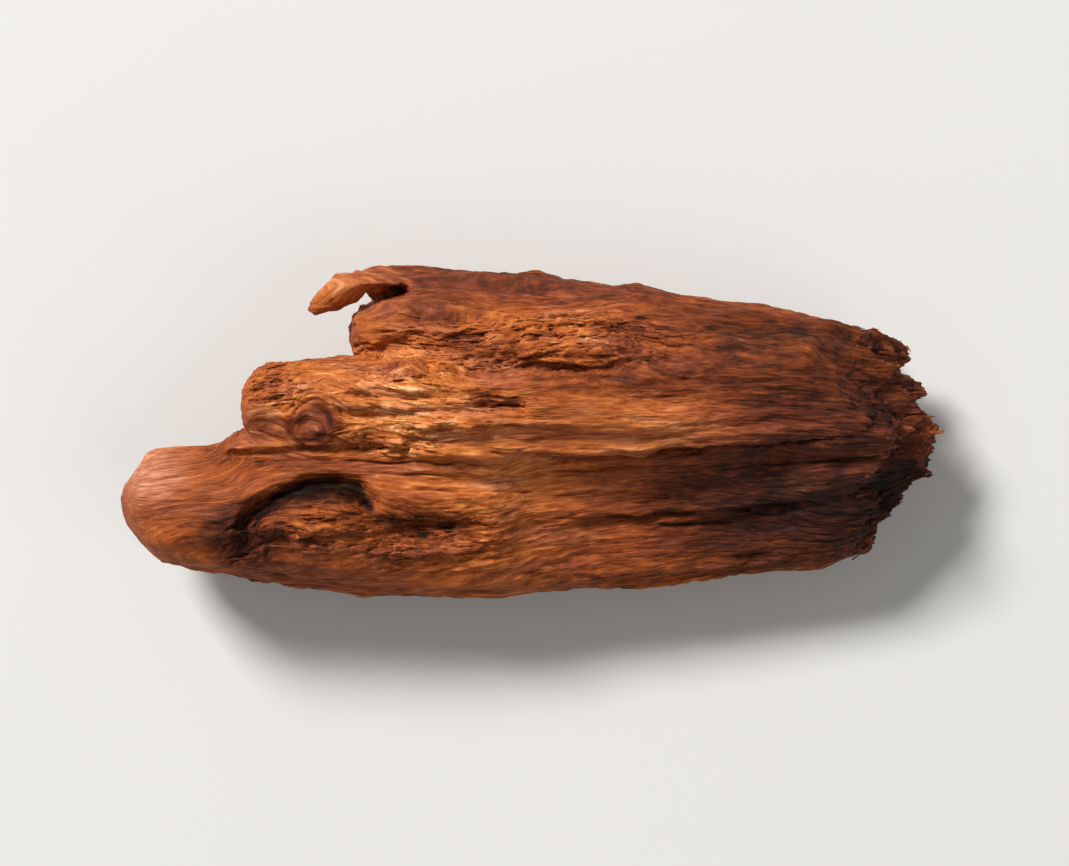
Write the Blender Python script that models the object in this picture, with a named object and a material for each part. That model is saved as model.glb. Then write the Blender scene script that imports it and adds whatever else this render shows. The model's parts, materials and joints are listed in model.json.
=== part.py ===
"""One rough piece of agarwood, lying on its split underside with its grain along X.

The wood is built from limbs: tapering lengths of wood that run along the grain, start at a blunt end on the
left and are lost in the body on the right. The limbs are fused into one skin, the skin is shaved by the
planes where the wood split, then hollowed, stepped along its ledges and ridged along its grain, and last
cut flat where it rests.

Lengths are millimetres until the finished mesh is scaled to metres.
+X is along the grain, +Y is across it and +Z is up. The origin is the centre of the underside's box.
"""

import math

import bmesh
import bpy
from mathutils import Matrix, Vector, geometry, noise

LENGTH = 71.8
WIDTH = 29.0
HEIGHT = 19.8
METRES = 0.001

# A limb's stations are (x, y, z, half width, half height), from its left end to its right end. Its nose and
# its tail are the lengths over which it rounds off, a squareness of 2 gives it an oval section, and lean is
# how far it is drawn to the right for each millimetre below its top.
LIMBS = {
    "heart": {
        "stations": [
            (-19.0, 1.6, 9.8, 3.6, 7.0),
            (-10.0, 2.2, 9.8, 7.0, 9.6),
            (2.0, 2.6, 10.2, 8.6, 10.6),
            (14.0, 2.4, 9.8, 8.6, 10.4),
            (24.0, 1.6, 9.4, 8.0, 9.2),
            (30.4, 0.8, 8.8, 5.4, 7.0),
            (34.2, -0.6, 8.4, 3.0, 4.2),
        ],
        "nose": 6.0,
        "tail": 2.4,
        "squareness": 2.2,
        "lean": 0.0,
    },
    "thumb": {
        "stations": [
            (-35.8, -6.2, 9.6, 3.9, 5.0),
            (-32.0, -6.6, 9.4, 5.2, 6.2),
            (-26.0, -7.1, 9.2, 6.0, 7.2),
            (-16.0, -7.6, 9.0, 6.2, 8.2),
            (-4.0, -7.6, 8.2, 6.6, 8.4),
            (8.0, -7.3, 7.2, 6.8, 7.0),
            (20.0, -6.8, 6.6, 6.4, 6.0),
            (29.0, -6.6, 6.2, 4.8, 5.0),
            (32.6, -6.4, 6.0, 2.6, 3.4),
        ],
        "nose": 4.2,
        "tail": 2.0,
        "squareness": 2.3,
        "lean": 0.10,
    },
    "knot_block": {
        "stations": [
            (-25.2, 2.5, 10.4, 3.6, 6.6),
            (-18.0, 2.6, 10.2, 3.9, 7.9),
            (-8.0, 2.4, 10.2, 4.6, 9.0),
        ],
        "nose": 1.6,
        "tail": 4.0,
        "squareness": 3.2,
        "lean": 0.16,
    },
    "web": {
        "stations": [
            (-27.8, -2.7, 9.6, 1.5, 4.2),
            (-25.0, -1.7, 9.8, 2.2, 5.3),
            (-16.0, -2.0, 10.0, 2.8, 6.0),
            (-4.0, -2.0, 10.0, 3.2, 7.2),
            (8.0, -2.4, 9.0, 3.2, 5.6),
        ],
        "nose": 2.4,
        "tail": 6.0,
        "squareness": 2.8,
        "lean": 0.1,
    },
    "shoulder": {
        "stations": [
            (-16.0, 9.0, 9.4, 3.1, 6.4),
            (-12.0, 9.3, 9.4, 3.5, 7.4),
            (-3.0, 8.6, 9.4, 3.6, 8.0),
            (9.0, 7.6, 9.2, 4.2, 8.4),
            (20.0, 6.2, 9.0, 4.2, 7.8),
        ],
        "nose": 2.4,
        "tail": 6.0,
        "squareness": 2.7,
        "lean": 0.2,
    },
    "back_rim": {
        "stations": [
            (-19.5, 11.3, 13.0, 1.1, 1.5),
            (-17.6, 12.5, 13.4, 1.0, 1.7),
            (-14.8, 13.5, 13.0, 0.8, 2.2),
            (-11.0, 13.4, 11.8, 1.0, 3.3),
            (-5.0, 12.2, 10.2, 2.0, 4.8),
            (4.0, 11.2, 9.2, 2.3, 5.4),
            (14.0, 10.3, 8.8, 2.2, 5.2),
            (26.0, 8.3, 8.2, 2.4, 4.8),
            (31.8, 6.0, 7.4, 1.2, 2.2),
        ],
        "nose": 0.7,
        "tail": 4.0,
        "squareness": 2.6,
        "lean": 0.5,
    },
    "lower_shard": {
        "stations": [
            (10.0, -4.6, 4.8, 5.6, 4.2),
            (24.0, -3.6, 5.2, 5.0, 3.8),
            (33.2, -3.0, 4.4, 1.8, 1.6),
        ],
        "nose": 4.0,
        "tail": 2.0,
        "squareness": 2.6,
        "lean": 0.0,
    },
    "upper_shard": {
        "stations": [
            (18.0, 3.6, 10.4, 4.4, 6.0),
            (28.0, 3.6, 9.6, 3.0, 4.4),
            (33.4, 3.2, 9.0, 0.9, 1.4),
        ],
        "nose": 4.0,
        "tail": 2.0,
        "squareness": 2.4,
        "lean": 0.0,
    },
}
RING_SPACING = 0.6
RING_POINTS = 40

# A split plane is a point on it and the way it faces. What stands past it is shaved back, and soft is how
# far the shaved edge is rounded.
SPLITS = [
    {"point": (8.0, 10.6, 15.2), "faces": (0.06, 0.74, 0.67), "soft": 0.4},
    {"point": (22.0, 10.2, 7.0), "faces": (0.16, 0.98, -0.08), "soft": 0.5},
    {"point": (4.0, 11.6, 4.6), "faces": (0.04, 0.74, -0.67), "soft": 0.6},
    {"point": (12.0, 0.0, 18.2), "faces": (0.12, -0.16, 0.98), "soft": 0.6},
    {"point": (10.0, -8.0, 13.0), "faces": (0.10, -0.52, 0.85), "soft": 0.7},
    {"point": (-16.0, -13.3, 10.6), "faces": (-0.04, -0.90, 0.43), "soft": 0.8},
    {"point": (8.0, -13.4, 7.0), "faces": (0.10, -0.97, 0.20), "soft": 0.6},
    {"point": (-8.0, -12.0, 3.8), "faces": (-0.06, -0.66, -0.75), "soft": 0.6},
    {"point": (20.0, -9.4, 3.2), "faces": (0.16, -0.66, -0.73), "soft": 0.6},
    {"point": (-27.0, -6.5, 2.4), "faces": (-0.34, -0.06, -0.94), "soft": 0.8},
    {"point": (0.0, 3.0, 0.5), "faces": (0.02, 0.06, -1.0), "soft": 0.5},
    {"point": (26.0, 0.0, 1.8), "faces": (0.26, 0.10, -0.96), "soft": 0.6},
    {"point": (29.0, 3.6, 13.6), "faces": (0.58, 0.30, 0.76), "soft": 0.5},
    {"point": (31.0, -5.0, 8.0), "faces": (0.84, -0.44, 0.32), "soft": 0.5},
]

# A ledge is a line on the upper face, seen from above. The wood on its -Y side is torn away, drop deep at
# the line and less with the distance from it, until it is whole again at reach.
LEDGES = [
    {"line": [(-4.0, -1.6), (0.0, -1.6), (3.7, -2.1), (6.4, -1.8), (11.7, -1.2), (19.7, -0.6), (25.0, -0.2)],
     "drop": 1.7, "reach": 14.0},
    {"line": [(-32.8, -1.6), (-27.2, -1.4), (-20.0, -1.1), (-15.0, -1.3)], "drop": 0.7, "reach": 2.6},
    {"line": [(-16.2, 7.3), (-13.6, 7.5), (-12.4, 8.4), (-9.6, 8.6)], "drop": 0.9, "reach": 3.0},
    {"line": [(-17.0, -0.2), (-14.3, -0.9), (-12.4, -0.9)], "drop": 0.8, "reach": 1.6},
    {"line": [(-12.8, -1.3), (-10.6, -0.9), (-9.9, 0.4), (-8.2, 0.6), (-6.0, 1.2)],
     "drop": 0.9, "reach": 2.4},
    {"line": [(-15.8, 2.0), (-13.0, 2.1), (-10.6, 1.8)], "drop": 0.6, "reach": 1.5},
    {"line": [(-7.6, 6.7), (-4.0, 5.4), (0.2, 6.7), (5.0, 6.2), (10.0, 6.9)], "drop": 0.8, "reach": 2.4},
    {"line": [(-3.0, 8.9), (1.2, 8.4), (8.0, 8.4), (17.0, 7.4)], "drop": 0.7, "reach": 2.4},
    {"line": [(2.0, -7.2), (9.0, -6.8), (16.0, -6.4), (24.0, -5.6)], "drop": 0.9, "reach": 6.0},
]

# A hollow is sunk along a line on the upper face, width to each side and depth deep.
HOLLOWS = [
    {"line": [(-24.4, -7.8), (-23.2, -6.2), (-21.4, -5.4), (-19.4, -4.8), (-16.9, -4.4), (-15.0, -4.9),
              (-13.8, -6.0)], "width": 1.3, "depth": 2.1},
    {"line": [(-25.4, -10.4), (-23.8, -8.6)], "width": 1.6, "depth": 0.9},
    {"line": [(-10.8, -8.6), (-7.4, -8.1)], "width": 1.5, "depth": 0.9},
    {"line": [(-4.4, 2.8), (-1.1, 2.1)], "width": 1.1, "depth": 0.9},
    {"line": [(-5.6, -0.2), (-4.0, -0.3)], "width": 0.8, "depth": 0.4},
    {"line": [(-6.8, 8.2), (-4.6, 8.0)], "width": 0.9, "depth": 0.5},
    {"line": [(-21.5, 4.2), (-21.5, 2.7)], "width": 0.9, "depth": 0.4},
    {"line": [(-15.4, 11.4), (-13.4, 12.0), (-11.2, 12.4)], "width": 0.7, "depth": 2.4},
]

# A swelling stands on the upper face: an oval centre, radii along and across the grain, and height.
SWELLINGS = [
    {"centre": (-17.6, -8.6), "radii": (5.6, 3.2), "height": 0.7},
    {"centre": (-12.4, 5.0), "radii": (2.8, 1.8), "height": 0.7},
    {"centre": (6.0, 1.2), "radii": (9.0, 2.2), "height": 0.6},
    {"centre": (-31.0, -6.2), "radii": (3.6, 3.6), "height": 0.5},
]

# The knot is a raised ring round a dimple. Their spreads are shares of its radius.
KNOT = {"centre": (-18.5, 0.7), "radius": 1.9, "ring": 0.4, "ring_spread": 0.32, "dimple": 0.4,
        "dimple_spread": 0.6}

# Ridges run along the grain with sharp crests. A layer of them has a length along the grain, a width across
# it, and heights on the upper face, the sides and the underside. A crest stands out by its share of a
# layer's height, and the furrows fall away from it by the fall.
RIDGES = [
    {"length": 30.0, "width": 8.0, "upper": 0.5, "side": 1.9, "under": 0.9, "offset": 0.0},
    {"length": 16.0, "width": 3.4, "upper": 0.5, "side": 1.0, "under": 0.6, "offset": 11.0},
    {"length": 9.0, "width": 1.7, "upper": 0.3, "side": 0.45, "under": 0.3, "offset": 22.0},
]
RIDGE_CREST = 0.3
RIDGE_FALL = 2.2

# The wood is torn in layers inside these ovals: flat steps with steep, frayed edges. A step's edge starts at
# edge_from and takes edge_width, both shares of a level.
TORN = {"length": 7.0, "width": 2.6, "offset": 40.0, "step": 0.5, "levels": 2.6, "edge_from": 0.3,
        "edge_width": 0.4, "fray": 2.4, "fray_length": 5.0, "fray_width": 1.3, "fray_offset": 0.0,
        "reach": 2.2}
TORN_OVALS = [
    {"centre": (-9.5, 3.0), "radii": (9.0, 5.0)},
    {"centre": (4.0, 7.4), "radii": (14.0, 3.4)},
    {"centre": (-9.0, -8.6), "radii": (9.0, 3.6)},
]

# The right end is broken across the grain: it stands out and back along the grain by up to length, and its
# splinters by up to splinter more.
BREAK = {"from": 24.0, "to": 31.0, "length": 3.2, "width": 3.4, "offset": 5.0, "splinter": 1.0,
         "splinter_width": 1.3, "splinter_offset": 9.0}

# A line along a ledge or a hollow wanders, so that it looks torn: wander is how far, in millimetres for a
# ledge and as a share of its width for a hollow.
WANDER = {"length": 2.2, "width": 1.4, "offset": 3.7, "ledge": 0.25, "hollow": 0.3}
LEDGE_STEEPNESS = 0.35
LEDGE_END = 0.18

# The heights between which a side turns into the upper face, and those between which it turns under.
UPPER_FACE = (5.0, 11.0)
UNDERSIDE = (4.5, 1.0)

# The y and z of the line that the ridges grow out from.
AXIS = (1.0, 9.0)

GRAIN_STRETCH = 2.2
FUSE_VOXEL = 0.30
MOST_TRIANGLES = 9600
REST_CUT = 0.8
SMOOTH_ANGLE = 40.0


def smooth(t):
    """0 below 0, 1 above 1 and an even curve between them."""
    t = min(1.0, max(0.0, t))
    return t * t * (3.0 - 2.0 * t)


def spline(stations, x):
    """The values of the stations at x, on a smooth curve through them. A station starts with its own x."""
    last = len(stations) - 1
    i = max(0, min(last - 1, sum(1 for s in stations if s[0] <= x) - 1))
    before, left, right, after = (
        stations[max(0, i - 1)], stations[i], stations[i + 1], stations[min(last, i + 2)],
    )
    t = (x - left[0]) / (right[0] - left[0])
    values = []
    for b, p, q, a in zip(before[1:], left[1:], right[1:], after[1:]):
        values.append(0.5 * (2 * p + (q - b) * t + (2 * b - 5 * p + 4 * q - a) * t * t
                             + (3 * p - b - 3 * q + a) * t ** 3))
    return values


def rounding(limb, x):
    """The share of its full section that a limb has at x, less than 1 on its nose and tail."""
    start, end = limb["stations"][0][0], limb["stations"][-1][0]
    nose = min(1.0, (x - start) / limb["nose"])
    tail = min(1.0, (end - x) / limb["tail"])
    return math.sqrt(max(0.0, 1 - (1 - nose) ** 2)) * math.sqrt(max(0.0, 1 - (1 - tail) ** 2))


def add_limb(bm, limb):
    """Adds a limb to the mesh as a closed tube of oval rings."""
    start, end = limb["stations"][0][0], limb["stations"][-1][0]
    count = math.ceil((end - start) / RING_SPACING)
    power = 2.0 / limb["squareness"]
    rings = []
    for i in range(1, count):
        x = start + (end - start) * i / count
        y, z, half_width, half_height = spline(limb["stations"], x)
        share = rounding(limb, x)
        ring = []
        for k in range(RING_POINTS):
            angle = 2 * math.pi * k / RING_POINTS
            c, s = math.cos(angle), math.sin(angle)
            across = math.copysign(abs(c) ** power, c) * half_width * share
            up = math.copysign(abs(s) ** power, s) * half_height * share
            ring.append(bm.verts.new((x + limb["lean"] * (half_height * share - up), y + across, z + up)))
        rings.append(ring)
    for ring, following in zip(rings, rings[1:]):
        for k in range(RING_POINTS):
            n = (k + 1) % RING_POINTS
            bm.faces.new((ring[k], ring[n], following[n], following[k]))
    for ring, x in ((rings[0], start), (rings[-1], end)):
        y, z = spline(limb["stations"], x)[:2]
        tip = bm.verts.new((x, y, z))
        for k in range(RING_POINTS):
            bm.faces.new((ring[k], ring[(k + 1) % RING_POINTS], tip))


def evaluated(obj):
    """The object's mesh with its modifiers applied, as a new mesh."""
    graph = bpy.context.evaluated_depsgraph_get()
    return bpy.data.meshes.new_from_object(obj.evaluated_get(graph))


def apply_modifier(obj, kind, **settings):
    """Adds a modifier to the object, sets it and makes its result the object's mesh."""
    modifier = obj.modifiers.new(kind.title(), kind)
    for name, value in settings.items():
        setattr(modifier, name, value)
    mesh = evaluated(obj)
    obj.modifiers.clear()
    obj.data = mesh


def stretch(obj, factor):
    """Stretches the mesh along the grain."""
    obj.data.transform(Matrix.Diagonal((factor, 1, 1, 1)))


def fused_limbs():
    """The limbs as one skin, fused while squeezed along the grain, so that its faces are long with it."""
    mesh = bpy.data.meshes.new("agarwood_piece")
    bm = bmesh.new()
    for limb in LIMBS.values():
        add_limb(bm, limb)
    bmesh.ops.recalc_face_normals(bm, faces=bm.faces)
    bm.to_mesh(mesh)
    bm.free()
    wood = bpy.data.objects.new("agarwood_piece", mesh)
    bpy.context.scene.collection.objects.link(wood)
    stretch(wood, 1 / GRAIN_STRETCH)
    apply_modifier(wood, "REMESH", mode="VOXEL", voxel_size=FUSE_VOXEL)
    apply_modifier(wood, "SMOOTH", factor=0.5, iterations=2)
    stretch(wood, GRAIN_STRETCH)
    return wood


def shave(point, split):
    """The point moved back to a split plane if it stands past it."""
    facing = Vector(split["faces"]).normalized()
    past = (point - Vector(split["point"])).dot(facing)
    soft = split["soft"]
    if past < -soft:
        return point
    back = past if past > soft else (past + soft) ** 2 / (4 * soft)
    return point - facing * back


def nearest_on(line, x, y):
    """(distance, side, share) of a line's nearest point, from above. side is over 0 on its -Y side."""
    here = Vector((x, y))
    best = (1e9, 0.0, 0.0)
    for i, (a, b) in enumerate(zip(line, line[1:])):
        a, b = Vector(a), Vector(b)
        foot, t = geometry.intersect_point_line(here, a, b)
        t = min(1.0, max(0.0, t))
        foot = a.lerp(b, t)
        distance = (here - foot).length
        if distance < best[0]:
            run = b - a
            side = run.y * (x - a.x) - run.x * (y - a.y)
            best = (distance, side, (i + t) / (len(line) - 1))
    return best


def wander(x, y):
    """How far a line along the grain wanders at (x, y), from about -1 to 1."""
    return noise.noise(Vector((x / WANDER["length"], y / WANDER["width"], WANDER["offset"])))


def ledge_drop(ledge, x, y):
    """How much lower the wood is at (x, y) for a ledge."""
    distance, side, share = nearest_on(ledge["line"], x, y + WANDER["ledge"] * wander(x, y))
    if side <= 0 or distance > ledge["reach"]:
        return 0.0
    ends = smooth(share / LEDGE_END) * smooth((1 - share) / LEDGE_END)
    fall = smooth(distance / LEDGE_STEEPNESS) * (1 - smooth(distance / ledge["reach"]))
    return ledge["drop"] * fall * ends


def hollow_depth(hollow, x, y):
    """How deep the wood is sunk at (x, y) by a hollow."""
    distance = nearest_on(hollow["line"], x, y)[0] * (1 + WANDER["hollow"] * wander(x, y))
    return hollow["depth"] * (1 - smooth(distance / hollow["width"]))


def oval_share(oval, x, y):
    """1 at the centre of an oval, 0 at its edge and past it."""
    across = (x - oval["centre"][0]) / oval["radii"][0]
    up = (y - oval["centre"][1]) / oval["radii"][1]
    return smooth(1 - math.hypot(across, up))


def knot_height(x, y):
    """The raised ring and the dimple of the knot at (x, y)."""
    radius = math.hypot(x - KNOT["centre"][0], y - KNOT["centre"][1]) / KNOT["radius"]
    ring = math.exp(-((radius - 1.0) / KNOT["ring_spread"]) ** 2)
    return KNOT["ring"] * ring - KNOT["dimple"] * math.exp(-((radius / KNOT["dimple_spread"]) ** 2))


def between(value, ends):
    """0 at the first of two ends, 1 at the second and an even curve between them."""
    return smooth((value - ends[0]) / (ends[1] - ends[0]))


def grain_noise(point, length, width, offset):
    """Smooth noise that is long with the grain, from about -1 to 1."""
    return noise.noise(Vector((point.x / length + offset, point.y / width, point.z / width)))


def end_noise(point, width, offset):
    """Smooth noise over the section, the same all along the grain, from about -1 to 1."""
    return noise.noise(Vector((offset, point.y / width, point.z / width)))


def ridge_height(point):
    """The height of the ridges along the grain at a point of the skin."""
    upper = between(point.z, UPPER_FACE)
    under = between(point.z, UNDERSIDE)
    total = 0.0
    for layer in RIDGES:
        height = layer["upper"] * upper + layer["under"] * under + layer["side"] * (1 - upper - under)
        furrow = abs(grain_noise(point, layer["length"], layer["width"], layer["offset"]))
        total += height * (RIDGE_CREST - RIDGE_FALL * furrow)
    return total


def torn_height(point):
    """The height of the torn layers at a point of the skin."""
    share = min(1.0, TORN["reach"] * max(oval_share(oval, point.x, point.y) for oval in TORN_OVALS))
    if share <= 0:
        return 0.0
    fray = TORN["fray"] * grain_noise(point, TORN["fray_length"], TORN["fray_width"], TORN["fray_offset"])
    moved = Vector((point.x + fray, point.y, point.z))
    level = TORN["levels"] * grain_noise(moved, TORN["length"], TORN["width"], TORN["offset"])
    whole = math.floor(level)
    return share * TORN["step"] * (whole + smooth((level - whole - TORN["edge_from"]) / TORN["edge_width"]))


def broken_out(point):
    """How far the wood of the broken end stands out along the grain at a point of the skin."""
    share = between(point.x, (BREAK["from"], BREAK["to"]))
    if share <= 0:
        return 0.0
    coarse = end_noise(point, BREAK["width"], BREAK["offset"])
    fine = end_noise(point, BREAK["splinter_width"], BREAK["splinter_offset"])
    return share * (BREAK["length"] * coarse + BREAK["splinter"] * fine)


def outward(point):
    """The way from the body's axis to the point, square to the grain."""
    return Vector((0, point.y - AXIS[0], point.z - AXIS[1])).normalized()


def carve(wood):
    """Moves the skin's points to give it the split planes, ledges, hollows, knot and ridges."""
    for vertex in wood.data.vertices:
        point = vertex.co.copy()
        for split in SPLITS:
            point = shave(point, split)
        x, y = point.x, point.y
        rise = sum(swelling["height"] * oval_share(swelling, x, y) for swelling in SWELLINGS)
        rise += knot_height(x, y)
        rise -= sum(ledge_drop(ledge, x, y) for ledge in LEDGES)
        rise -= max(hollow_depth(hollow, x, y) for hollow in HOLLOWS)
        upper = between(point.z, UPPER_FACE)
        grown = outward(point) * (ridge_height(point) + torn_height(point))
        vertex.co = point + grown + Vector((broken_out(point), 0, rise * upper))
    wood.data.update()


def thin_out(wood):
    """Reduces the skin to its share of triangles, measured while squeezed along the grain."""
    stretch(wood, 1 / GRAIN_STRETCH)
    triangles = sum(len(face.vertices) - 2 for face in wood.data.polygons)
    apply_modifier(wood, "DECIMATE", ratio=MOST_TRIANGLES / triangles)
    stretch(wood, GRAIN_STRETCH)


def cut_to_rest(wood):
    """Cuts the underside flat, REST_CUT above its lowest point."""
    lowest = min(vertex.co.z for vertex in wood.data.vertices)
    bm = bmesh.new()
    bmesh.ops.create_cube(bm, size=1.0)
    cutter_mesh = bpy.data.meshes.new("rest_cutter")
    bm.to_mesh(cutter_mesh)
    bm.free()
    cutter_mesh.transform(Matrix.Diagonal((2 * LENGTH, 2 * WIDTH, 2 * HEIGHT, 1)))
    cutter_mesh.transform(Matrix.Translation((0, 0, lowest + REST_CUT - HEIGHT)))
    cutter = bpy.data.objects.new("rest_cutter", cutter_mesh)
    bpy.context.scene.collection.objects.link(cutter)
    apply_modifier(wood, "BOOLEAN", object=cutter, operation="DIFFERENCE", solver="EXACT")
    bpy.data.objects.remove(cutter)


def bring_to_size(wood):
    """Gives the mesh its real length, width and height, with the centre of its underside at the origin."""
    corners = [Vector(corner) for corner in wood.bound_box]
    low = Vector([min(corner[k] for corner in corners) for k in range(3)])
    high = Vector([max(corner[k] for corner in corners) for k in range(3)])
    size = high - low
    middle = Vector(((low.x + high.x) / 2, (low.y + high.y) / 2, low.z))
    wood.data.transform(Matrix.Translation(-middle))
    real = (LENGTH / size.x, WIDTH / size.y, HEIGHT / size.z)
    wood.data.transform(Matrix.Diagonal((*real, 1)))
    wood.data.transform(Matrix.Scale(METRES, 4))


def agarwood_material():
    """Resinous wood, warm brown and slightly glossy."""
    material = bpy.data.materials.new("agarwood")
    material.use_nodes = True
    shader = material.node_tree.nodes["Principled BSDF"]
    shader.inputs["Base Color"].default_value = (0.30, 0.105, 0.035, 1)
    shader.inputs["Roughness"].default_value = 0.6
    shader.inputs["Metallic"].default_value = 0.0
    return material


def main():
    for obj in list(bpy.data.objects):
        bpy.data.objects.remove(obj)
    wood = fused_limbs()
    carve(wood)
    thin_out(wood)
    cut_to_rest(wood)
    bpy.context.view_layer.update()
    bring_to_size(wood)
    wood.data.shade_smooth()
    wood.data.set_sharp_from_angle(angle=math.radians(SMOOTH_ANGLE))
    wood.data.materials.clear()
    wood.data.materials.append(agarwood_material())


main()
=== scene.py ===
import itertools
import json
import math

import bpy
import numpy as np
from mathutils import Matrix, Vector, noise
from mathutils.bvhtree import BVHTree

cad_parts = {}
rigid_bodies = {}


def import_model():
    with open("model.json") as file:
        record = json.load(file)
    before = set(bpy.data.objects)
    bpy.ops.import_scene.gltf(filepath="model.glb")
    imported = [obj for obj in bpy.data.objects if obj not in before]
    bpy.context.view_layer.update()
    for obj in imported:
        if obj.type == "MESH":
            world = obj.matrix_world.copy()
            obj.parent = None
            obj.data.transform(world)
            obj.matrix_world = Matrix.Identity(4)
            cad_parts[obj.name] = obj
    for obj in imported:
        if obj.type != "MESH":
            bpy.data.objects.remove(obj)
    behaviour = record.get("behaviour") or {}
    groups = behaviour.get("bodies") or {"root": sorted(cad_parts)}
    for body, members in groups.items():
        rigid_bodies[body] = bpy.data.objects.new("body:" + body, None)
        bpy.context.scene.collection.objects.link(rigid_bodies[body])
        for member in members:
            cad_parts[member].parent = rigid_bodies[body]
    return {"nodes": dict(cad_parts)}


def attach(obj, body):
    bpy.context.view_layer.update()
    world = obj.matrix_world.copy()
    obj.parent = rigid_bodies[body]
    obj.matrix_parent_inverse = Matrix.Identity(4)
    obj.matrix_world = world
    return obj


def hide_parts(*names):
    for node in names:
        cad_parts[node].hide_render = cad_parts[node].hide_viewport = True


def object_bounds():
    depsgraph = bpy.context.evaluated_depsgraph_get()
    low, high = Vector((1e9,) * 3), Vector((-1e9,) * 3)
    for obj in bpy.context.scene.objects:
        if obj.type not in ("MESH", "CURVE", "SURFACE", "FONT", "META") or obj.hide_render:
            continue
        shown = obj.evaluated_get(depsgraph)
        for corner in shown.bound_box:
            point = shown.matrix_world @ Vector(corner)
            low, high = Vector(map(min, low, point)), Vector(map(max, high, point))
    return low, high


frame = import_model()
cadLow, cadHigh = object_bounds()
bpy.ops.object.select_all(action="DESELECT")
print("frame loaded")

# Lengths are millimetres while a piece is being shaped, as on the real chunk, and metres once it is done.
mm = 0.001


def ease(t):
    t = np.clip(t, 0.0, 1.0)
    return t * t * (3.0 - 2.0 * t)


def rise(values, start, end):  # 0 at start, 1 at end
    return ease((values - start) / (end - start))


# Noise on a lattice

latticeDraws = np.random.default_rng(5)
latticeDirections = latticeDraws.normal(size=(256, 3))
latticeDirections /= np.linalg.norm(latticeDirections, axis=1, keepdims=True)
latticeSpots = latticeDraws.uniform(-0.45, 0.45, size=(256, 3))
latticeShares = latticeDraws.uniform(0.0, 1.0, size=256)
noiseGain = 1.7  # brings the noise to about -1 to 1


def latticeKey(cell, seed):  # one of 256 numbers for each cell, scattered by large primes
    key = (cell[:, 0] * 73856093) ^ (cell[:, 1] * 19349663) ^ (cell[:, 2] * 83492791) ^ (seed * 265443576)
    key = (key ^ (key >> 13)) * 1274126177
    return (key ^ (key >> 16)) & 255


def noiseAt(points, size, seed):  # smooth noise, from about -1 to 1, with lumps of this size
    scaled = points / np.asarray(size, float)
    cell = np.floor(scaled).astype(np.int64)
    part = scaled - cell
    fade = part ** 3 * (part * (part * 6 - 15) + 10)
    total = np.zeros(len(points))
    for corner in itertools.product((0, 1), repeat=3):
        direction = latticeDirections[latticeKey(cell + corner, seed)]
        weight = np.prod(np.where(corner, fade, 1 - fade), axis=1)
        total += weight * np.sum(direction * (part - corner), axis=1)
    return noiseGain * total


def cellsAt(points, size, seed):  # distance to the nearest scattered spot and to the next, and its number
    scaled = points / np.asarray(size, float)
    cell = np.floor(scaled).astype(np.int64)
    first = np.full(len(points), 9.0)
    second = np.full(len(points), 9.0)
    own = np.zeros(len(points))
    for corner in itertools.product((-1, 0, 1), repeat=3):
        near = cell + corner
        key = latticeKey(near, seed)
        distance = np.linalg.norm(scaled - near - 0.5 - latticeSpots[key], axis=1)
        closer = distance < first
        second = np.where(closer, first, np.minimum(second, distance))
        own = np.where(closer, latticeShares[key], own)
        first = np.where(closer, distance, first)
    return first, second, own


# Strokes seen from above

def strokeAt(points, line):  # (distance, share of the way along the line)
    best = np.full(len(points), 1e9)
    share = np.zeros(len(points))
    line = np.asarray(line, float)
    for i, (a, b) in enumerate(zip(line, line[1:])):
        run = b - a
        t = np.clip(((points[:, :2] - a) @ run) / (run @ run), 0, 1)
        away = points[:, :2] - a - t[:, None] * run
        distance = np.hypot(away[:, 0], away[:, 1])
        closer = distance < best
        best = np.where(closer, distance, best)
        share = np.where(closer, (i + t) / (len(line) - 1), share)
    return best, share


def ovalAt(points, oval):  # 1 at the centre of an oval, 0 at its edge
    across = (points[:, 0] - oval["centre"][0]) / oval["radii"][0]
    up = (points[:, 1] - oval["centre"][1]) / oval["radii"][1]
    return ease(1 - np.hypot(across, up))


# A mesh as arrays

def pointsOf(mesh):
    points = np.empty(len(mesh.vertices) * 3)
    mesh.vertices.foreach_get("co", points)
    return points.reshape(-1, 3)


def setPoints(mesh, points):
    mesh.vertices.foreach_set("co", points.astype(np.float32).ravel())
    mesh.update()


def normalsOf(mesh):
    normals = np.empty(len(mesh.vertices) * 3)
    mesh.vertices.foreach_get("normal", normals)
    return normals.reshape(-1, 3)


def edgesOf(mesh):
    edges = np.empty(len(mesh.edges) * 2, np.int64)
    mesh.edges.foreach_get("vertices", edges)
    return edges.reshape(-1, 2)


def blurred(values, edges, rounds, share=0.5):  # each value drawn towards the mean of its neighbours
    count = len(values)
    ends = np.concatenate((edges[:, 0], edges[:, 1]))
    others = np.concatenate((edges[:, 1], edges[:, 0]))
    neighbours = np.bincount(ends, minlength=count)
    columns = values.reshape(count, -1).copy()
    for _ in range(rounds):
        for k in range(columns.shape[1]):
            mean = np.bincount(ends, weights=columns[others, k], minlength=count) / neighbours
            columns[:, k] += share * (mean - columns[:, k])
    return columns.reshape(values.shape)


def broadNormals(mesh, rounds):  # unit normals without the finer relief
    normals = blurred(normalsOf(mesh), edgesOf(mesh), rounds)
    return normals / np.linalg.norm(normals, axis=1, keepdims=True)


def addAttribute(mesh, name, values):
    kind = "FLOAT_VECTOR" if values.ndim == 2 else "FLOAT"
    attribute = mesh.attributes.new(name, kind, "POINT")
    attribute.data.foreach_set("vector" if values.ndim == 2 else "value", values.astype(np.float32).ravel())


def select(piece):
    bpy.ops.object.select_all(action="DESELECT")
    piece.select_set(True)
    bpy.context.view_layer.objects.active = piece


# Materials

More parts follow.
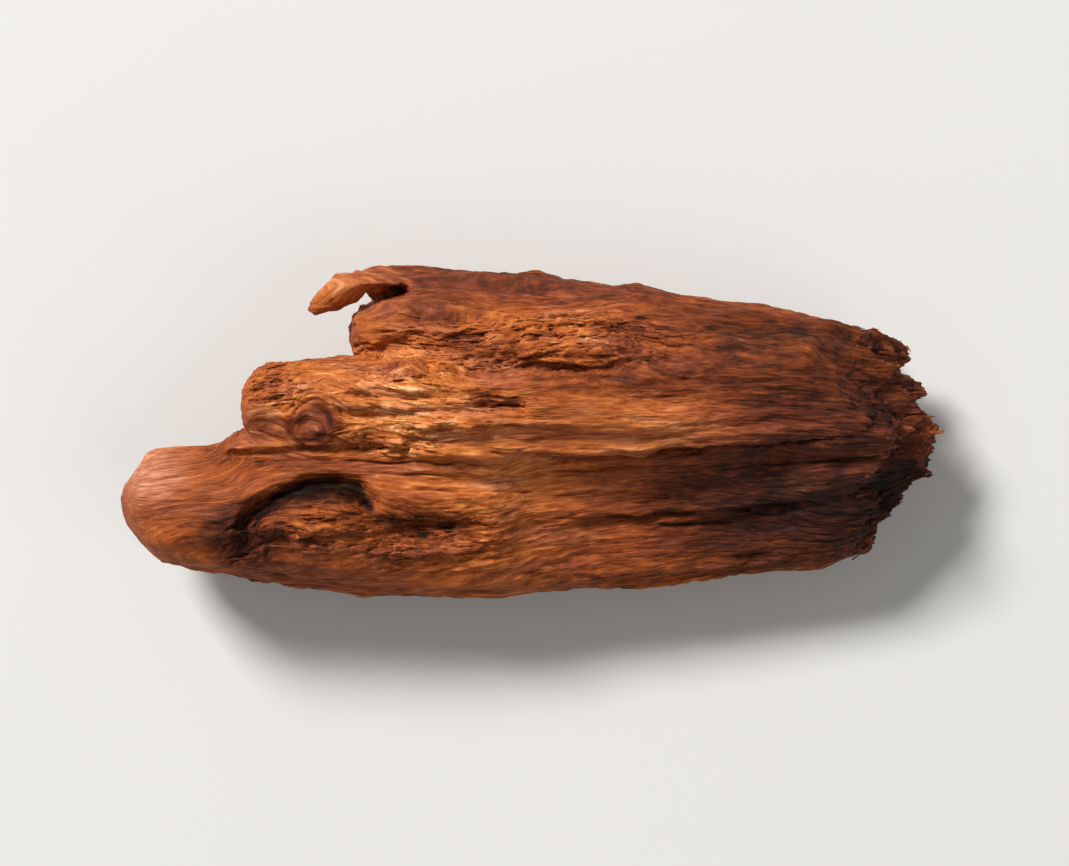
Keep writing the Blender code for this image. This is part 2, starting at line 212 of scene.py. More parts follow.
class Wire:  # an output socket that Python's operators join to Math nodes
    def __init__(self, board, socket):
        self.board = board
        self.socket = socket

    def math(self, operation, *values):
        return self.board.node("ShaderNodeMath", {"operation": operation}, dict(enumerate(values)))

    def __add__(self, other):
        return self.math("ADD", self, other)

    def __sub__(self, other):
        return self.math("SUBTRACT", self, other)

    def __mul__(self, other):
        return self.math("MULTIPLY", self, other)

    def __rsub__(self, other):
        return self.math("SUBTRACT", other, self)

    __radd__ = __add__
    __rmul__ = __mul__

    def above(self, start, end):  # 0 up to start, 1 from end on
        return self.board.node("ShaderNodeMapRange", {"interpolation_type": "SMOOTHSTEP"},
                               {"Value": self, "From Min": start, "From Max": end})


class Board:  # a material's node tree
    def __init__(self, name):
        self.material = bpy.data.materials.new(name)
        self.material.use_nodes = True
        self.tree = self.material.node_tree
        self.surface = self.tree.nodes["Principled BSDF"]

    def node(self, kind, settings, values, output=0):
        made = self.tree.nodes.new(kind)
        for name, value in settings.items():
            if name == "stops":
                self.setStops(made.color_ramp, value)
            else:
                setattr(made, name, value)
        for name, value in values.items():
            self.feed(made.inputs[name], value)
        return Wire(self, made.outputs[output])

    def feed(self, socket, value):
        if isinstance(value, Wire):
            self.tree.links.new(value.socket, socket)
        else:
            socket.default_value = value

    def setStops(self, ramp, stops):
        while len(ramp.elements) < len(stops):
            ramp.elements.new(0.5)
        for element, (place, colour) in zip(ramp.elements, stops):
            element.position = place
            element.color = (*linear(colour), 1)

    def attribute(self, name, output="Fac"):
        return self.node("ShaderNodeAttribute", {"attribute_name": name}, {}, output)

    def blend(self, factor, first, second, how="MIX"):
        return self.node("ShaderNodeMix", {"data_type": "RGBA", "blend_type": how},
                         {0: factor, 6: first, 7: second}, 2)


def linear(colour):  # from a picture's 0 to 255 to light
    return [c / 255 / 12.92 if c <= 10 else ((c / 255 + 0.055) / 1.055) ** 2.4 for c in colour]


woodLook = {
    "golden": [  # fresh torn wood, from its dark pores to its pale fibres
        (0.00, (20, 9, 4)), (0.18, (62, 27, 12)), (0.36, (112, 52, 22)), (0.52, (154, 77, 33)),
        (0.68, (188, 106, 48)), (0.84, (216, 144, 84)), (1.00, (236, 184, 134)),
    ],
    "rosy": [  # old worn and resinous wood; its pale end also gives the painted sheen on the rounded end
        (0.00, (20, 9, 6)), (0.18, (58, 27, 18)), (0.36, (100, 48, 31)), (0.52, (142, 72, 46)),
        (0.68, (180, 110, 76)), (0.84, (208, 152, 120)), (1.00, (230, 192, 166)),
    ],
    "middle": 0.47,
    "freshness": 0.65,  # how much less the painted shade in pits and the paler crests differ in tone on torn wood
    "cutLoss": 0.85,  # how much of the marks along the grain is lost where the fibres end
    "specular": 0.13,
    "roughness": 0.60,
    "streakRoughness": 0.3,
    "tornRoughness": 0.15,
    "hollowRoughness": 0.3,
    "hollow": -2.0,  # the swell at which a hollow is at its dullest
    "relief": 0.7,
    "reliefHeight": 0.3,
    # Noises: lumps to a millimetre along the grain and across it, and their part in the tone and the relief
    "bands": {"scale": (0.035, 0.45, 0.45), "detail": 2.0, "roughness": 0.55, "tone": 0.34},
    "streaks": {"scale": (0.17, 1.7, 1.7), "detail": 2.0, "roughness": 0.60, "tone": 0.26},
    "lines": {"scale": (0.24, 3.2, 3.2), "detail": 2.0, "roughness": 0.55, "tone": 0.06,
              "dark": (0.38, 0.43), "pale": (0.57, 0.62)},
    "fibres": {"scale": (0.72, 6.0, 6.0), "detail": 2.0, "roughness": 0.60, "tone": 0.46, "relief": 0.5},
    "dashes": {"scale": (0.56, 3.0, 3.0), "detail": 2.0, "roughness": 0.50, "tone": 0.40},
    "flecks": {"scale": (1.00, 2.4, 2.4), "detail": 2.0, "roughness": 0.60, "tone": 0.09,
               "dark": (0.36, 0.43), "pale": (0.57, 0.64), "onSound": 0.35},
    "specks": {"scale": (3.0, 9.0, 9.0), "detail": 1.0, "roughness": 0.55, "tone": 0.50, "relief": 0.6},
    # Tone by height, for the fine crests and for the broad swells: paler above the mean surface as a painted
    # highlight (on the fine crests also their worn fibre tips), darker below as painted shade in hollows
    "crest": {"pale": 0.08, "high": 2.2, "dark": 0.14, "low": -2.6},
    "swell": {"pale": 0.05, "high": 1.6, "dark": 0.26, "low": -2.2},
}


def woodMaterial():
    board = Board("agarwood")
    grain = board.attribute("grain", "Vector")
    crest = board.attribute("crest")
    swell = board.attribute("swell")
    torn = board.attribute("torn")
    cut = board.attribute("cut")  # where the ends of the fibres show
    place = board.node("ShaderNodeTexCoord", {}, {}, "Object")

    def pattern(look, spots, unit):
        scale = [number / unit for number in look["scale"]]
        scaled = board.node("ShaderNodeMapping", {"vector_type": "POINT"}, {"Vector": spots, "Scale": scale})
        values = {"Vector": scaled, "Scale": 1.0, "Detail": look["detail"], "Roughness": look["roughness"]}
        return board.node("ShaderNodeTexNoise", {}, values)

    noises = {name: pattern(woodLook[name], grain, 1)
              for name in ("bands", "streaks", "lines", "fibres", "dashes", "flecks")}
    noises["specks"] = pattern(woodLook["specks"], place, mm)

    def shades(name):  # darker and paler round the middle tone
        return woodLook[name]["tone"] * (noises[name] - 0.5)

    def marks(name):  # dark and pale marks with plain wood between them
        look = woodLook[name]
        return look["tone"] * (noises[name].above(*look["pale"]) + noises[name].above(*look["dark"]) - 1)

    def shadeAndHighlightByHeight(height, look):  # painted highlight on what stands out (on fine crests also worn fibre tips), painted shade in what lies deep
        raised = height.above(0.0, look["high"])
        sunk = 1 - height.above(look["low"], 0.0)
        return look["pale"] * raised - look["dark"] * sunk

    along = 1 - woodLook["cutLoss"] * cut
    sound = woodLook["flecks"]["onSound"]
    mark = shades("bands") + shades("streaks") + marks("lines") + shades("fibres") + shades("dashes")
    mark = mark + marks("flecks") * (sound + (1 - sound) * torn)
    tone = woodLook["middle"] + board.attribute("tone") + mark * along + shades("specks") * cut
    # painted shade in hollows and painted highlight on crests and swells, from the heights of the surface
    height = shadeAndHighlightByHeight(crest, woodLook["crest"]) + shadeAndHighlightByHeight(swell, woodLook["swell"])
    tone = tone + height * (1 - woodLook["freshness"] * torn)
    golden = board.node("ShaderNodeValToRGB", {"stops": woodLook["golden"]}, {"Fac": tone}, "Color")
    rosy = board.node("ShaderNodeValToRGB", {"stops": woodLook["rosy"]}, {"Fac": tone}, "Color")
    colour = board.blend(board.attribute("rosy"), golden, rosy)
    roughness = woodLook["roughness"] + woodLook["streakRoughness"] * (noises["streaks"] - 0.5)
    roughness = roughness + woodLook["tornRoughness"] * torn
    roughness = roughness + woodLook["hollowRoughness"] * (1 - swell.above(woodLook["hollow"], 0.0))
    relief = (woodLook["fibres"]["relief"] * noises["fibres"] + noises["dashes"]) * along
    relief = relief + woodLook["specks"]["relief"] * noises["specks"] * cut
    bump = board.node("ShaderNodeBump", {}, {"Height": relief, "Strength": woodLook["relief"],
                                             "Distance": woodLook["reliefHeight"] * mm}, "Normal")
    board.feed(board.surface.inputs["Base Color"], colour)
    board.feed(board.surface.inputs["Roughness"], roughness)
    board.feed(board.surface.inputs["Normal"], bump)
    board.feed(board.surface.inputs["Specular IOR Level"], woodLook["specular"])
    return board.material


agarwood = woodMaterial()
print("wood material ready")

# The chunk of wood

chunk = {
    "squeeze": 2.6,  # faces are this much longer along the grain
    "voxel": 0.105,
    "evenRounds": 30,
    "evenShares": (0.5, -0.53),  # in and out again in each round
    "triangles": 197000,
    "driftSize": (9, 4, 4),  # of the lumps in which the grain is shifted along itself
    "drift": 0.8,
    "meanderSize": (26, 10, 10),  # of those in which it is shifted sideways
    "meander": 1.1,
    "archCentre": (-17.8, -5.6),  # the grain arches over the hollow
    "archRadii": (5.5, 2.8),
    "archHeight": 1.5,
    "mapStep": 0.5,  # of the maps of the long faces that the grain follows
    "mapFacing": 0.2,
    "mapBlur": 5,
    "follow": 0.95,
    "facingCell": 1.5,  # of the grid on which the normals are averaged
    "facingBlur": (14, 1, 1),  # rounds of it along the grain and across it both ways
    "probe": 0.2,  # the step over which the direction of the grain is measured
}

knot = {
    "centre": (-18.5, 0.8),
    "radius": 2.0,
    "bending": 0.9,  # how far the grain is turned round the knot
    "narrow": 0.88,
    "lean": 0.12,
    "lumps": [{"size": 2.4, "reach": 0.22, "seed": 32}, {"size": 0.9, "reach": 0.08, "seed": 33}],
    "rings": [{"radius": 0.58, "width": 0.20, "height": -0.10, "tone": -0.42},
              {"radius": 1.00, "width": 0.14, "height": -0.12, "tone": -0.26}],
    "breaks": {"size": 1.3, "seed": 34, "middle": 0.75, "spread": 0.9},  # in the rings
}

tilts = [  # where the grain leans, left of a place and from one row to another
    {"leftOf": -21, "rows": (1.0, -2.0), "slope": 0.16},
    {"leftOf": -11, "rows": (9.5, 11.5), "slope": 0.30},
]
slants = [  # where the fibres run up to the right
    {"centre": (-24.4, -8.8), "radii": (5.0, 4.2), "slope": 0.42},
    {"centre": (0.0, 7.6), "radii": (13.0, 6.0), "slope": 0.24},
]


def addModifier(piece, kind, settings):
    bpy.ops.object.modifier_add(type=kind)
    modifier = piece.modifiers[-1]
    for name, value in settings.items():
        setattr(modifier, name, value)
    bpy.ops.object.modifier_apply(modifier=modifier.name)


def scaleTo(piece, scale):
    select(piece)
    piece.scale = scale
    bpy.ops.object.transform_apply(location=False, rotation=False, scale=True)


def chunkMesh():
    wood = bpy.data.objects.new("agarwoodChunk", frame["nodes"]["agarwood_piece"].data.copy())
    bpy.context.scene.collection.objects.link(wood)
    wood.data.materials.clear()
    select(wood)
    bpy.ops.object.mode_set(mode="EDIT")
    bpy.ops.mesh.select_all(action="SELECT")
    bpy.ops.mesh.remove_doubles(threshold=1e-7)
    bpy.ops.object.mode_set(mode="OBJECT")
    scaleTo(wood, (1 / mm / chunk["squeeze"], 1 / mm, 1 / mm))
    addModifier(wood, "REMESH", {"mode": "VOXEL", "voxel_size": chunk["voxel"]})
    return wood


def evened(points, edges):  # takes the facets out and keeps the size
    for _ in range(chunk["evenRounds"]):
        for share in chunk["evenShares"]:
            points = blurred(points, edges, 1, share)
    return points


longFaces = [{"out": 2, "sign": 1}, {"out": 2, "sign": -1}, {"out": 1, "sign": 1}, {"out": 1, "sign": -1}]


def mapPlace(points, face):  # where points lie on a grid along the grain and across the face
    axes = [0, 3 - face["out"]]
    return (points[:, axes] - np.array(cadLow)[axes] / mm) / chunk["mapStep"]


def mapFace(points, normals, face):  # how far out the face lies over the grid, less each row's mean
    out, sign = face["out"], face["sign"]
    counts = np.ceil(mapPlace(np.array([cadHigh]) / mm, face)[0]).astype(int) + 1
    facing = sign * normals[:, out] > chunk["mapFacing"]
    spots = np.round(mapPlace(points[facing], face)).astype(int).clip(0, counts - 1)
    heights = np.full(counts, np.nan)
    np.fmax.at(heights, (spots[:, 0], spots[:, 1]), sign * points[facing, out])
    known = ~np.isnan(heights)
    filled = np.flatnonzero(known.any(axis=1))
    rows = np.arange(counts[1])
    for i in filled:
        heights[i] = np.interp(rows, rows[known[i]], heights[i, known[i]])
    for i in range(counts[0]):
        heights[i] = heights[filled[np.argmin(np.abs(filled - i))]]
    for _ in range(chunk["mapBlur"]):
        padded = np.pad(heights, 1, mode="edge")
        beside = padded[2:, 1:-1] + padded[:-2, 1:-1] + padded[1:-1, 2:] + padded[1:-1, :-2]
        heights = 0.5 * heights + 0.125 * beside
    face["heights"] = heights - heights.mean(axis=0)


def mapAt(face, points):
    heights = face["heights"]
    place = np.clip(mapPlace(points, face), 0, np.array(heights.shape) - 1.001)
    cell = place.astype(int)
    part = place - cell
    total = np.zeros(len(points))
    for i, j in itertools.product((0, 1), repeat=2):
        weight = np.where(i, part[:, 0], 1 - part[:, 0]) * np.where(j, part[:, 1], 1 - part[:, 1])
        total += weight * heights[cell[:, 0] + i, cell[:, 1] + j]
    return total


def longFacing(points, normals):  # unit normals, averaged over a stretch of the grain
    low, high = np.array(cadLow) / mm, np.array(cadHigh) / mm
    counts = np.ceil((high - low) / chunk["facingCell"]).astype(int) + 3
    place = (points - low) / chunk["facingCell"] + 1
    spots = np.ravel_multi_index(np.round(place).astype(int).T, counts)
    grid = np.stack([np.bincount(spots, normals[:, k], counts.prod()) for k in range(3)], axis=1)
    grid = grid.reshape(*counts, 3)
    for axis, rounds in enumerate(chunk["facingBlur"]):
        for _ in range(rounds):
            padded = np.pad(grid, [(int(k == axis),) * 2 for k in range(4)])
            beside = padded.take(range(2, counts[axis] + 2), axis) + padded.take(range(counts[axis]), axis)
            grid = 0.5 * grid + 0.25 * beside
    corner = np.floor(place).astype(int)
    part = place - corner
    total = np.zeros((len(points), 3))
    for step in itertools.product((0, 1), repeat=3):
        weight = np.prod(np.where(step, part, 1 - part), axis=1)
        total += weight[:, None] * grid[tuple((corner + step).T)]
    return total / (np.linalg.norm(total, axis=1, keepdims=True) + 1e-9)


def grainAt(points, top, facing):  # how far along the grain a point lies, and across it two ways
    x, y = points[:, 0], points[:, 1]
    along = x + chunk["drift"] * noiseAt(points, chunk["driftSize"], 1)
    across = y + chunk["meander"] * noiseAt(points, chunk["meanderSize"], 2)
    deep = points[:, 2] + chunk["meander"] * noiseAt(points, chunk["meanderSize"], 3)
    for face in longFaces:
        share = np.clip(face["sign"] * facing[:, face["out"]], 0, 1) ** 2
        shift = face["sign"] * chunk["follow"] * share * mapAt(face, points)
        if face["out"] == 2:
            deep -= shift
        else:
            across -= shift
    for tilt in tilts:
        across -= tilt["slope"] * np.minimum(x - tilt["leftOf"], 0) * rise(y, *tilt["rows"])
    for slant in slants:
        across -= top * slant["slope"] * (x - slant["centre"][0]) * ovalAt(points, slant)
    right, up = x - knot["centre"][0], y - knot["centre"][1]
    square = np.maximum(right ** 2 + up ** 2, knot["radius"] ** 2)
    across -= knot["bending"] * top * up * knot["radius"] ** 2 / square
    right = (x - chunk["archCentre"][0]) / chunk["archRadii"][0]
    up = (y - chunk["archCentre"][1]) / chunk["archRadii"][1]
    across -= chunk["archHeight"] * top * np.exp(-right ** 2 - up ** 2)
    return np.stack((along, across, deep), axis=1)


def grainRun(points, top, facing):  # the way that the fibres lie, as unit vectors
    reach = chunk["probe"]
    here = grainAt(points, top, facing)
    slopes = []
    for axis in range(3):
        beside = points.copy()
        beside[:, axis] += reach
        slopes.append((grainAt(beside, top, facing) - here) / reach)
    slopes = np.stack(slopes, axis=2)
    run = np.cross(slopes[:, 1], slopes[:, 2])
    return run / np.linalg.norm(run, axis=1, keepdims=True)


strands = [  # round bundles with sharp valleys between them, or sharp crests where crest is set
    {"length": 46.0, "width": 3.4, "height": 0.18, "crest": True, "seed": 11},
    {"length": 26.0, "width": 1.8, "height": 0.12, "crest": False, "seed": 12},
    {"length": 7.4, "width": 1.0, "height": 0.09, "crest": True, "seed": 13},
    {"length": 3.6, "width": 0.66, "height": 0.08, "crest": False, "seed": 14},
    {"length": 1.8, "width": 0.44, "height": 0.08, "crest": False, "seed": 15},
]
foldRise, foldMean = 1.4, 0.35  # they bring the height of a fold to about 0 on average
slits = [  # narrow splits along the grain, pointed at both ends
    {"length": 12.0, "spacing": 2.6, "opening": 0.16, "depth": 0.40, "share": 0.5, "seed": 17},
    {"length": 5.0, "spacing": 1.3, "opening": 0.13, "depth": 0.24, "share": 0.5, "seed": 19},
]
slitHalfLength, slitHalfBreadth = 0.5, 0.6  # as shares of a cell


def strandHeight(grain):
    total = np.zeros(len(grain))
    for strand in strands:
        fold = np.abs(noiseAt(grain, (strand["length"], strand["width"], strand["width"]), strand["seed"]))
        lift = foldRise * fold - foldMean
        total += strand["height"] * (-lift if strand["crest"] else lift)
    return total


def slitDepth(grain):
    total = np.zeros(len(grain))
    for slit in slits:
        scaled = grain / np.array((slit["length"], slit["spacing"], slit["spacing"]))
        cell = np.floor(scaled).astype(np.int64)
        for corner in itertools.product((-1, 0, 1), repeat=3):
            near = cell + corner
            key = latticeKey(near, slit["seed"])
            away = scaled - near - 0.5 - latticeSpots[key]
            turn = 2 * math.pi * latticeShares[key]
            across = np.abs(away[:, 1] * np.cos(turn) + away[:, 2] * np.sin(turn)) * slit["spacing"]
            beside = away[:, 2] * np.cos(turn) - away[:, 1] * np.sin(turn)
            taper = np.clip(1 - (away[:, 0] / slitHalfLength) ** 2, 0, 1)
            taper *= np.clip(1 - (beside / slitHalfBreadth) ** 2, 0, 1)
            there = latticeShares[(7 * key + 3) & 255] < slit["share"]  # by another number than its turn
            opened = np.clip(1 - across / (slit["opening"] * np.sqrt(taper) + 1e-6), 0, 1)
            total = np.maximum(total, there * slit["depth"] * taper * opened)
    return total


flakes = {
    "length": 4.6,
    "width": 1.1,
    "step": 0.10,
    "layers": 5,
    "shrink": 0.13,  # from layer to layer
    "edge": 0.05,
    "fray": 2.2,
    "frayLength": 8.0,
    "fibre": 0.30,
    "seed": 21,
}


def flakeHeight(grain):  # split layers whose ends are frayed into fibres and into bundles of them
    frayed = grain.copy()
    for k, width in enumerate((flakes["fibre"], 3 * flakes["fibre"])):
        size = (flakes["frayLength"], width, width)
        frayed[:, 0] += flakes["fray"] * noiseAt(grain, size, flakes["seed"] + k)
    total = np.zeros(len(grain))
    for layer in range(flakes["layers"]):
        share = 1.0 - flakes["shrink"] * layer
        size = (flakes["length"] * share, flakes["width"] * share, flakes["width"] * share)
        spread = noiseAt(frayed, size, flakes["seed"] + 2 + layer)
        total += rise(spread, -flakes["edge"], flakes["edge"]) - 0.5
    return flakes["step"] * total


tornAreas = [
    {"centre": (-10.5, 2.6), "radii": (11.0, 6.5)},
    {"centre": (-8.0, 8.4), "radii": (6.0, 3.4)},
    {"centre": (3.5, 7.6), "radii": (16.0, 5.0)},
    {"centre": (-9.0, -9.0), "radii": (12.0, 4.4)},
    {"centre": (-17.6, -8.2), "radii": (5.6, 3.6)},
    {"centre": (-21.5, 3.6), "radii": (5.0, 4.0)},
    {"centre": (-24.0, -8.6), "radii": (4.4, 4.4)},
]
wornAreas = [
    {"centre": (-32.0, -5.5), "radii": (12.0, 10.0)},
    {"centre": (-12.6, 10.9), "radii": (4.8, 2.4)},
    {"centre": (-3.0, 13.2), "radii": (26.0, 3.6)},
    {"centre": (-23.6, 0.6), "radii": (3.6, 2.6)},
    {"centre": (10.0, 0.6), "radii": (14.0, 2.6)},
    {"centre": (-18.5, 0.7), "radii": (2.6, 2.6)},
]
crumbAreas = [
    {"centre": (-21.8, 3.6), "radii": (3.4, 2.6)},
    {"centre": (-9.5, -9.8), "radii": (7.5, 2.6)},
    {"centre": (-17.4, -8.4), "radii": (5.4, 3.0)},
    {"centre": (-2.8, 2.4), "radii": (2.4, 1.3)},
    {"centre": (-11.0, -1.0), "radii": (5.6, 1.5)},
    {"centre": (-9.8, 5.8), "radii": (5.0, 2.2)},
    {"centre": (-3.6, 6.6), "radii": (4.4, 2.6)},
    {"centre": (-8.2, 8.6), "radii": (4.6, 2.4)},
    {"centre": (-15.6, -0.7), "radii": (2.4, 1.2)},
    {"centre": (-14.2, 6.6), "radii": (1.8, 1.2)},
    {"centre": (2.0, 8.2), "radii": (11.0, 3.2)},
]


def shareOf(points, areas):  # 1 well inside any of the areas, 0 outside them
    return np.clip(2.0 * np.max([ovalAt(points, area) for area in areas], axis=0), 0, 1)


# Grooves are cut below the surface and lips stand on it, each a stroke on the upper face.
grooves = [
    {"line": [(-22.6, -5.7), (-21.4, -5.2), (-19.4, -4.5), (-16.9, -4.1), (-15.0, -4.7), (-14.0, -5.8)],
     "width": 0.5, "depth": 0.2},
    {"line": [(-26.6, -9.8), (-24.6, -8.5), (-22.6, -7.4)], "width": 0.35, "depth": 0.35},
    {"line": [(-26.2, -8.4), (-24.4, -7.3), (-22.8, -6.3)], "width": 0.3, "depth": 0.3},
    {"line": [(-26.0, -11.2), (-23.8, -9.8), (-21.2, -8.7)], "width": 0.35, "depth": 0.35},
    {"line": [(-15.2, 2.0), (-13.2, 2.1), (-11.0, 1.9)], "width": 0.25, "depth": 0.35},
    {"line": [(-13.3, -1.2), (-10.8, -1.1)], "width": 0.25, "depth": 0.4},
    {"line": [(-10.8, 0.1), (-9.5, 0.3)], "width": 0.25, "depth": 0.3},
    {"line": [(-12.6, 4.2), (-10.8, 4.35)], "width": 0.25, "depth": 0.4},
    {"line": [(-4.6, 3.2), (-2.4, 3.0)], "width": 0.22, "depth": 0.5},
    {"line": [(-3.9, 2.3), (-0.6, 2.0)], "width": 0.22, "depth": 0.5},
    {"line": [(-5.6, 0.9), (-3.2, 0.8)], "width": 0.2, "depth": 0.35},
    {"line": [(-2.4, 0.55), (-0.9, 0.45)], "width": 0.25, "depth": 0.35},
    {"line": [(-7.3, 6.2), (-4.9, 6.4)], "width": 0.35, "depth": 0.4},
    {"line": [(-16.2, 7.3), (-14.9, 7.5), (-13.6, 7.5)], "width": 0.3, "depth": 0.45},
    {"line": [(-13.0, 8.4), (-11.4, 8.6)], "width": 0.25, "depth": 0.3},
    {"line": [(-4.0, 5.2), (0.2, 6.5), (5.0, 6.2), (10.0, 6.9)], "width": 0.25, "depth": 0.35},
    {"line": [(3.0, 9.6), (5.4, 9.9)], "width": 0.25, "depth": 0.35},
    {"line": [(6.6, 9.2), (9.6, 8.9)], "width": 0.25, "depth": 0.4},
    {"line": [(7.4, 8.3), (11.4, 7.9)], "width": 0.25, "depth": 0.4},
    {"line": [(0.4, 8.9), (3.6, 8.6)], "width": 0.25, "depth": 0.35},
    {"line": [(-1.4, 7.6), (1.4, 8.6)], "width": 0.25, "depth": 0.35},
    {"line": [(2.0, -7.4), (9.0, -7.2), (16.0, -6.9), (24.0, -6.0)], "width": 0.35, "depth": 0.35},
    {"line": [(-17.0, -0.2), (-15.8, -0.8), (-14.3, -1.0)], "width": 0.25, "depth": 0.35},
    {"line": [(-24.5, -2.5), (-20.0, -2.2), (-14.4, -2.5), (-6.0, -2.6)], "width": 0.22, "depth": 0.3},
    {"line": [(-14.0, -3.4), (-8.0, -3.6), (1.0, -3.8)], "width": 0.2, "depth": 0.25},
    {"line": [(-12.0, -4.6), (-5.0, -4.9), (0.0, -5.2)], "width": 0.2, "depth": 0.25},
    {"line": [(-3.5, -1.7), (0.0, -1.8), (3.7, -2.2), (6.4, -2.0), (11.7, -1.5), (19.7, -1.0), (25.5, -0.6)],
     "width": 0.4, "depth": 0.55},
    {"line": [(-15.3, 11.2), (-13.9, 12.0), (-12.1, 12.4), (-10.6, 12.2)], "width": 0.4, "depth": 0.4},
    {"line": [(-17.9, 12.6), (-17.3, 11.6), (-17.0, 10.6)], "width": 0.25, "depth": 0.15},
]
lips = [
    {"line": [(-27.2, -1.1), (-25.4, 0.5)], "width": 0.45, "height": 0.25},
    {"line": [(-26.5, -1.95), (-20.0, -1.8), (-14.0, -2.1)], "width": 0.3, "height": 0.15},
    {"line": [(-24.0, -3.0), (-19.0, -2.8), (-15.0, -3.0)], "width": 0.4, "height": 0.12},
    {"line": [(-8.9, 0.1), (-7.4, 0.0)], "width": 0.3, "height": 0.2},
    {"line": [(-4.5, 2.0), (-3.3, 1.95)], "width": 0.3, "height": 0.25},
    {"line": [(-14.6, 7.0), (-14.2, 6.7)], "width": 0.4, "height": 0.3},
    {"line": [(-3.4, 5.5), (0.2, 6.9)], "width": 0.3, "height": 0.3},
    {"line": [(-1.1, 6.1), (0.8, 7.35)], "width": 0.25, "height": 0.25},
    {"line": [(1.1, 0.9), (11.7, 0.3), (19.0, -0.5)], "width": 0.8, "height": 0.15},
    {"line": [(-3.5, -1.2), (0.0, -1.2), (3.7, -1.7), (6.4, -1.5), (11.7, -1.0), (19.7, -0.5)],
     "width": 0.35, "height": 0.16},
    {"line": [(6.8, 12.9), (13.4, 11.7)], "width": 0.3, "height": 0.12},
]
wander = {"length": 2.2, "width": 1.4, "offset": 3.7, "reach": 0.25}  # as the lines of the solid wander
strokeEnd = {"width": 0.25, "reach": 0.3}  # how narrow a stroke ends, and from what share of its way


def strokeShare(points, stroke, swing):  # 1 on the stroke, 0 past its width
    distance, share = strokeAt(np.stack((points[:, 0], points[:, 1] + swing), axis=1), stroke["line"])
    narrow = strokeEnd["width"]
    taper = narrow + (1 - narrow) * rise(np.minimum(share, 1 - share), 0.0, strokeEnd["reach"])
    return 1 - ease(distance / (stroke["width"] * taper))


def strokesAt(points, strokes, measure, swing):  # the greatest depth or height of any of the strokes
    return np.max([stroke[measure] * strokeShare(points, stroke, swing) for stroke in strokes], axis=0)


def knotRadiusAt(points):  # 1 at the rim of the knot
    right, up = points[:, 0] - knot["centre"][0], points[:, 1] - knot["centre"][1]
    uneven = sum(lump["reach"] * noiseAt(points, lump["size"], lump["seed"]) for lump in knot["lumps"])
    return np.hypot(knot["narrow"] * right - knot["lean"] * up, up) / knot["radius"] * (1 + uneven)


def knotRings(points, measure):  # the height or the tone of the rings, each broken here and there
    radius = knotRadiusAt(points)
    total = 0
    for ring in knot["rings"]:
        total += ring[measure] * np.exp(-((radius - ring["radius"]) / ring["width"]) ** 2)
    breaks = knot["breaks"]
    whole = breaks["middle"] + breaks["spread"] * noiseAt(points, breaks["size"], breaks["seed"])
    return total * np.clip(whole, 0, 1)


crumbs = {
    "size": (1.6, 0.7, 0.7),
    "seed": 41,
    "loose": 0.35,  # how far their outlines wander, in lumps of this size
    "looseSize": (1.4, 0.9, 0.9),
    "uneven": 0.28,
    "dome": 0.10,
    "round": 1.6,
    "gap": 0.15,
    "gapWidth": 0.16,
    "shade": 0.22,
}


def crumbsAt(points):  # crumbs longer than wide, with gaps between them: (height, own number)
    loose = [noiseAt(points, crumbs["looseSize"], crumbs["seed"] + 1 + k) for k in range(3)]
    moved = points + crumbs["loose"] * np.stack(loose, axis=1)
    near, following, own = cellsAt(moved, crumbs["size"], crumbs["seed"])
    height = crumbs["uneven"] * (own - 0.5) + crumbs["dome"] * (1 - crumbs["round"] * near ** 2)
    height -= crumbs["gap"] * (1 - rise(following - near, 0.0, crumbs["gapWidth"]))
    return height, own


brokenBundles = [
    {"size": 3.2, "reach": 0.9, "seed": 51},
    {"size": 1.2, "reach": 0.45, "seed": 52},
    {"size": 0.5, "reach": 0.3, "seed": 53},
]
bundleFlatness = 0.6
bundleShort = 0.6  # the number from which a bundle reaches past the end of the solid


def brokenEnd(points):  # each bundle of fibres ends at its own length
    section = points.copy()
    section[:, 0] = 0.0
    total = np.zeros(len(points))
    for bundle in brokenBundles:
        size = bundle["size"]
        own = cellsAt(section, (size, size * bundleFlatness, size), bundle["seed"])[2]
        total += bundle["reach"] * (own - bundleShort)
    return total


def evenChunk(wood):
    mesh = wood.data
    points = evened(pointsOf(mesh), edgesOf(mesh))
    points[:, 0] *= chunk["squeeze"]
    setPoints(mesh, points)
    for face in longFaces:
        mapFace(pointsOf(mesh), normalsOf(mesh), face)
    print("chunk remeshed,", len(points), "points")


carving = {
    "topHeight": (5.5, 10.0),  # the upper face begins from one height to the other
    "topFacing": (-0.1, 0.45),  # and where its normal points up
    "lobe": (-29.0, -32.0),  # from here on the rounded end is worn all round
    "end": (24.0, 30.0),  # the same for the broken end
    "endFacing": (0.15, 0.6),
    "acrossFacing": (0.45, 0.85),  # how much of the normal lies along the chunk there
    "cutFacing": (0.2, 0.65),  # and along the fibres
    "patches": {"size": (22, 6, 6), "seed": 61, "range": (-0.1, 0.5), "share": 0.6},  # torn ones elsewhere
    "sideStrands": 1.5,  # how much higher the strands are on the sides
    "soundFlakes": 0.12,  # how much of the flakes is left on sound wood
    "ragged": 0.35,  # how far the other cut faces are as ragged as the broken end
    "tornWear": 0.8,  # how much of each of four is gone on worn wood
    "strandWear": 0.3,
    "slitWear": 0.5,
    "raggedWear": 0.7,
    "acrossWear": 0.75,  # how much of the relief is gone where fibres end
}


def patchesAt(points, patches):  # 1 in scattered patches, 0 between them
    return rise(noiseAt(points, patches["size"], patches["seed"]), *patches["range"])


